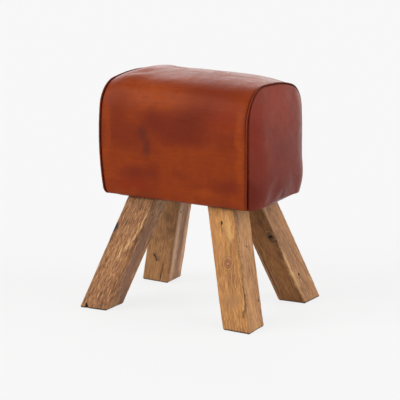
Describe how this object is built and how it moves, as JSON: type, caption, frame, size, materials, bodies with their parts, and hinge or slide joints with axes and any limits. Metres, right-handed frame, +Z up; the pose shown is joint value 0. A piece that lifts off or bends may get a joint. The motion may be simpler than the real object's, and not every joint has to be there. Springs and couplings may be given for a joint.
{
  "type": "leather stool",
  "caption": "Low upholstered stool in the form of a vaulting block: crowned leather seat with welted end seams on splayed solid wood legs.",
  "frame": {"origin": "on the floor, under the middle of the seat", "axes": "+Z up, X along the seat's length, Y across it; the long face shown in front looks along -Y"},
  "size_m": [0.409, 0.324, 0.5],
  "materials": {
    "hide": "satin",
    "end_hide": "satin",
    "welt_hide": "satin",
    "cotton_cord": "matte",
    "padding": "matte",
    "plywood": "matte",
    "softwood": "matte",
    "stained_board": "matte",
    "screw_steel": "satin",
    "leg_wood": "satin"
  },
  "bodies": {
    "root": {"leather_wrap": "hide", "leather_end_left": "end_hide", "leather_end_right": "end_hide", "welt_left": "welt_hide", "welt_right": "welt_hide", "welt_cord_left": "cotton_cord", "welt_cord_right": "cotton_cord", "foam_top": "padding", "foam_front": "padding", "foam_back": "padding", "foam_end_left": "padding", "foam_end_right": "padding", "base_board": "plywood", "end_board_left": "plywood", "end_board_right": "plywood", "side_board_front": "plywood", "side_board_back": "plywood", "top_board": "plywood", "corner_posts": "softwood", "bottom_board": "stained_board", "bottom_board_screws": "screw_steel", "washers": "screw_steel", "coach_screws": "screw_steel", "leg_front_left": "leg_wood", "leg_front_right": "leg_wood", "leg_back_left": "leg_wood", "leg_back_right": "leg_wood"}
  },
  "joints": []
}
